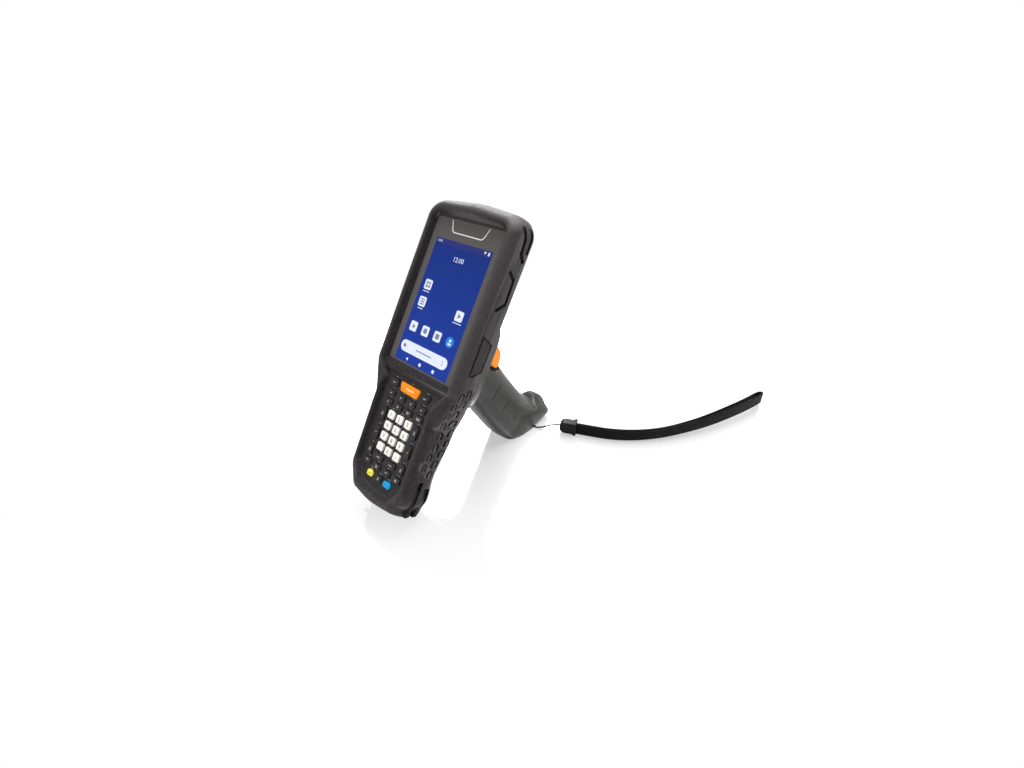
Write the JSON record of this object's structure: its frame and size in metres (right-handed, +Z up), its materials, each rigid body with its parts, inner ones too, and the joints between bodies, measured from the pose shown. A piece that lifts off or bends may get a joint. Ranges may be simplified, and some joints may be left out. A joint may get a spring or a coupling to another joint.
{
  "type": "handheld barcode data terminal with pistol grip",
  "caption": "Portable barcode data terminal with touch screen, number keypad, rubber boot, pistol grip with trigger and a wrist strap.",
  "frame": {"origin": "middle of the flat foot of the grip, on the surface the terminal stands on", "axes": "+X to the user's right across the screen, +Y from the screen side towards the grip's butt, +Z up; the terminal stands on its grip and on the heel of its boot"},
  "size_m": [0.2094, 0.3596, 0.211],
  "materials": {
    "boot_rubber": "satin",
    "housing_plastic": "matte",
    "screen_glass": "gloss",
    "display_frame": "satin",
    "mat_rubber": "matte",
    "board": "satin",
    "battery_plastic": "matte",
    "latch_plastic": "satin",
    "engine_metal": "satin",
    "scan_glass": "gloss",
    "grip_plastic": "satin",
    "orange_plastic": "gloss",
    "steel": "satin",
    "side_key_rubber": "matte",
    "cord_nylon": "matte",
    "gloss_black": "gloss",
    "webbing": "matte",
    "yellow_plastic": "gloss",
    "blue_plastic": "gloss",
    "white_plastic": "gloss",
    "black_key": "satin"
  },
  "bodies": {
    "housing": {"rubber_boot": "boot_rubber", "front_housing": "housing_plastic", "rear_housing": "housing_plastic", "touch_window": "screen_glass", "display_module": "display_frame", "main_board": "board", "battery_pack": "battery_plastic", "scan_engine": "engine_metal", "scan_window": "scan_glass", "grip_shell_left": "grip_plastic", "grip_shell_right": "grip_plastic", "trigger_pin": "steel", "trigger_switch": "latch_plastic", "case_screws": "steel", "lanyard_string": "cord_nylon", "strap_ferrule": "gloss_black", "wrist_strap": "webbing", "keypad_mat": "mat_rubber"},
    "trigger": {"trigger": "orange_plastic"},
    "battery_latch": {"battery_latch": "latch_plastic"},
    "side_key_left": {"side_key_left": "side_key_rubber"},
    "side_key_right": {"side_key_right": "side_key_rubber"},
    "key_soft_left": {"key_soft_left": "black_key"},
    "key_scan": {"key_scan": "orange_plastic"},
    "key_soft_right": {"key_soft_right": "black_key"},
    "key_arrow_left": {"key_arrow_left": "black_key"},
    "key_arrow_up": {"key_arrow_up": "black_key"},
    "key_arrow_down": {"key_arrow_down": "black_key"},
    "key_arrow_right": {"key_arrow_right": "black_key"},
    "key_upper_1": {"key_upper_1": "black_key"},
    "key_upper_2": {"key_upper_2": "black_key"},
    "key_upper_3": {"key_upper_3": "black_key"},
    "key_upper_4": {"key_upper_4": "black_key"},
    "key_1": {"key_1": "white_plastic"},
    "key_2": {"key_2": "white_plastic"},
    "key_3": {"key_3": "white_plastic"},
    "key_4": {"key_4": "white_plastic"},
    "key_5": {"key_5": "white_plastic"},
    "key_6": {"key_6": "white_plastic"},
    "key_7": {"key_7": "white_plastic"},
    "key_8": {"key_8": "white_plastic"},
    "key_9": {"key_9": "white_plastic"},
    "key_point": {"key_point": "white_plastic"},
    "key_0": {"key_0": "white_plastic"},
    "key_dash": {"key_dash": "white_plastic"},
    "key_left_1": {"key_left_1": "black_key"},
    "key_left_2": {"key_left_2": "black_key"},
    "key_left_3": {"key_left_3": "black_key"},
    "key_right_1": {"key_right_1": "black_key"},
    "key_right_2": {"key_right_2": "black_key"},
    "key_right_3": {"key_right_3": "black_key"},
    "key_wide_left": {"key_wide_left": "black_key"},
    "key_wide_right": {"key_wide_right": "black_key"},
    "key_lower_1": {"key_lower_1": "black_key"},
    "key_lower_2": {"key_lower_2": "black_key"},
    "key_lower_3": {"key_lower_3": "black_key"},
    "key_lower_4": {"key_lower_4": "black_key"},
    "key_yellow": {"key_yellow": "yellow_plastic"},
    "key_shift": {"key_shift": "black_key"},
    "key_blue": {"key_blue": "blue_plastic"}
  },
  "joints": [
    {"name": "trigger_hinge", "type": "hinge", "parent": "housing", "child": "trigger", "pos_m": [0, -0.03865, 0.10371], "axis": [-1, 0, 0], "range_deg": [0, 8], "stiffness_Nm_per_rad": 0.2, "springref_deg": -5.73},
    {"name": "battery_latch_slide", "type": "slide", "parent": "housing", "child": "battery_latch", "axis": [0, -0.5373, -0.8434], "range_m": [0, 0.003], "stiffness_N_per_m": 200, "springref_m": -0.002},
    {"name": "side_key_left_push", "type": "slide", "parent": "housing", "child": "side_key_left", "axis": [1, 0, 0], "range_m": [0, 0.0006], "stiffness_N_per_m": 500},
    {"name": "side_key_right_push", "type": "slide", "parent": "housing", "child": "side_key_right", "axis": [-1, 0, 0], "range_m": [0, 0.0006], "stiffness_N_per_m": 500},
    {"name": "key_soft_left_push", "type": "slide", "parent": "housing", "child": "key_soft_left", "axis": [0, 0.8434, -0.5373], "range_m": [0, 0.0006], "stiffness_N_per_m": 500},
    {"name": "key_scan_push", "type": "slide", "parent": "housing", "child": "key_scan", "axis": [0, 0.8434, -0.5373], "range_m": [0, 0.0006], "stiffness_N_per_m": 500},
    {"name": "key_soft_right_push", "type": "slide", "parent": "housing", "child": "key_soft_right", "axis": [0, 0.8434, -0.5373], "range_m": [0, 0.0006], "stiffness_N_per_m": 500},
    {"name": "key_arrow_left_push", "type": "slide", "parent": "housing", "child": "key_arrow_left", "axis": [0, 0.8434, -0.5373], "range_m": [0, 0.0006], "stiffness_N_per_m": 500},
    {"name": "key_arrow_up_push", "type": "slide", "parent": "housing", "child": "key_arrow_up", "axis": [0, 0.8434, -0.5373], "range_m": [0, 0.0006], "stiffness_N_per_m": 500},
    {"name": "key_arrow_down_push", "type": "slide", "parent": "housing", "child": "key_arrow_down", "axis": [0, 0.8434, -0.5373], "range_m": [0, 0.0006], "stiffness_N_per_m": 500},
    {"name": "key_arrow_right_push", "type": "slide", "parent": "housing", "child": "key_arrow_right", "axis": [0, 0.8434, -0.5373], "range_m": [0, 0.0006], "stiffness_N_per_m": 500},
    {"name": "key_upper_1_push", "type": "slide", "parent": "housing", "child": "key_upper_1", "axis": [0, 0.8434, -0.5373], "range_m": [0, 0.0006], "stiffness_N_per_m": 500},
    {"name": "key_upper_2_push", "type": "slide", "parent": "housing", "child": "key_upper_2", "axis": [0, 0.8434, -0.5373], "range_m": [0, 0.0006], "stiffness_N_per_m": 500},
    {"name": "key_upper_3_push", "type": "slide", "parent": "housing", "child": "key_upper_3", "axis": [0, 0.8434, -0.5373], "range_m": [0, 0.0006], "stiffness_N_per_m": 500},
    {"name": "key_upper_4_push", "type": "slide", "parent": "housing", "child": "key_upper_4", "axis": [0, 0.8434, -0.5373], "range_m": [0, 0.0006], "stiffness_N_per_m": 500},
    {"name": "key_1_push", "type": "slide", "parent": "housing", "child": "key_1", "axis": [0, 0.8434, -0.5373], "range_m": [0, 0.0006], "stiffness_N_per_m": 500},
    {"name": "key_2_push", "type": "slide", "parent": "housing", "child": "key_2", "axis": [0, 0.8434, -0.5373], "range_m": [0, 0.0006], "stiffness_N_per_m": 500},
    {"name": "key_3_push", "type": "slide", "parent": "housing", "child": "key_3", "axis": [0, 0.8434, -0.5373], "range_m": [0, 0.0006], "stiffness_N_per_m": 500},
    {"name": "key_4_push", "type": "slide", "parent": "housing", "child": "key_4", "axis": [0, 0.8434, -0.5373], "range_m": [0, 0.0006], "stiffness_N_per_m": 500},
    {"name": "key_5_push", "type": "slide", "parent": "housing", "child": "key_5", "axis": [0, 0.8434, -0.5373], "range_m": [0, 0.0006], "stiffness_N_per_m": 500},
    {"name": "key_6_push", "type": "slide", "parent": "housing", "child": "key_6", "axis": [0, 0.8434, -0.5373], "range_m": [0, 0.0006], "stiffness_N_per_m": 500},
    {"name": "key_7_push", "type": "slide", "parent": "housing", "child": "key_7", "axis": [0, 0.8434, -0.5373], "range_m": [0, 0.0006], "stiffness_N_per_m": 500},
    {"name": "key_8_push", "type": "slide", "parent": "housing", "child": "key_8", "axis": [0, 0.8434, -0.5373], "range_m": [0, 0.0006], "stiffness_N_per_m": 500},
    {"name": "key_9_push", "type": "slide", "parent": "housing", "child": "key_9", "axis": [0, 0.8434, -0.5373], "range_m": [0, 0.0006], "stiffness_N_per_m": 500},
    {"name": "key_point_push", "type": "slide", "parent": "housing", "child": "key_point", "axis": [0, 0.8434, -0.5373], "range_m": [0, 0.0006], "stiffness_N_per_m": 500},
    {"name": "key_0_push", "type": "slide", "parent": "housing", "child": "key_0", "axis": [0, 0.8434, -0.5373], "range_m": [0, 0.0006], "stiffness_N_per_m": 500},
    {"name": "key_dash_push", "type": "slide", "parent": "housing", "child": "key_dash", "axis": [0, 0.8434, -0.5373], "range_m": [0, 0.0006], "stiffness_N_per_m": 500},
    {"name": "key_left_1_push", "type": "slide", "parent": "housing", "child": "key_left_1", "axis": [0, 0.8434, -0.5373], "range_m": [0, 0.0006], "stiffness_N_per_m": 500},
    {"name": "key_left_2_push", "type": "slide", "parent": "housing", "child": "key_left_2", "axis": [0, 0.8434, -0.5373], "range_m": [0, 0.0006], "stiffness_N_per_m": 500},
    {"name": "key_left_3_push", "type": "slide", "parent": "housing", "child": "key_left_3", "axis": [0, 0.8434, -0.5373], "range_m": [0, 0.0006], "stiffness_N_per_m": 500},
    {"name": "key_right_1_push", "type": "slide", "parent": "housing", "child": "key_right_1", "axis": [0, 0.8434, -0.5373], "range_m": [0, 0.0006], "stiffness_N_per_m": 500},
    {"name": "key_right_2_push", "type": "slide", "parent": "housing", "child": "key_right_2", "axis": [0, 0.8434, -0.5373], "range_m": [0, 0.0006], "stiffness_N_per_m": 500},
    {"name": "key_right_3_push", "type": "slide", "parent": "housing", "child": "key_right_3", "axis": [0, 0.8434, -0.5373], "range_m": [0, 0.0006], "stiffness_N_per_m": 500},
    {"name": "key_wide_left_push", "type": "slide", "parent": "housing", "child": "key_wide_left", "axis": [0, 0.8434, -0.5373], "range_m": [0, 0.0006], "stiffness_N_per_m": 500},
    {"name": "key_wide_right_push", "type": "slide", "parent": "housing", "child": "key_wide_right", "axis": [0, 0.8434, -0.5373], "range_m": [0, 0.0006], "stiffness_N_per_m": 500},
    {"name": "key_lower_1_push", "type": "slide", "parent": "housing", "child": "key_lower_1", "axis": [0, 0.8434, -0.5373], "range_m": [0, 0.0006], "stiffness_N_per_m": 500},
    {"name": "key_lower_2_push", "type": "slide", "parent": "housing", "child": "key_lower_2", "axis": [0, 0.8434, -0.5373], "range_m": [0, 0.0006], "stiffness_N_per_m": 500},
    {"name": "key_lower_3_push", "type": "slide", "parent": "housing", "child": "key_lower_3", "axis": [0, 0.8434, -0.5373], "range_m": [0, 0.0006], "stiffness_N_per_m": 500},
    {"name": "key_lower_4_push", "type": "slide", "parent": "housing", "child": "key_lower_4", "axis": [0, 0.8434, -0.5373], "range_m": [0, 0.0006], "stiffness_N_per_m": 500},
    {"name": "key_yellow_push", "type": "slide", "parent": "housing", "child": "key_yellow", "axis": [0, 0.8434, -0.5373], "range_m": [0, 0.0006], "stiffness_N_per_m": 500},
    {"name": "key_shift_push", "type": "slide", "parent": "housing", "child": "key_shift", "axis": [0, 0.8434, -0.5373], "range_m": [0, 0.0006], "stiffness_N_per_m": 500},
    {"name": "key_blue_push", "type": "slide", "parent": "housing", "child": "key_blue", "axis": [0, 0.8434, -0.5373], "range_m": [0, 0.0006], "stiffness_N_per_m": 500}
  ]
}
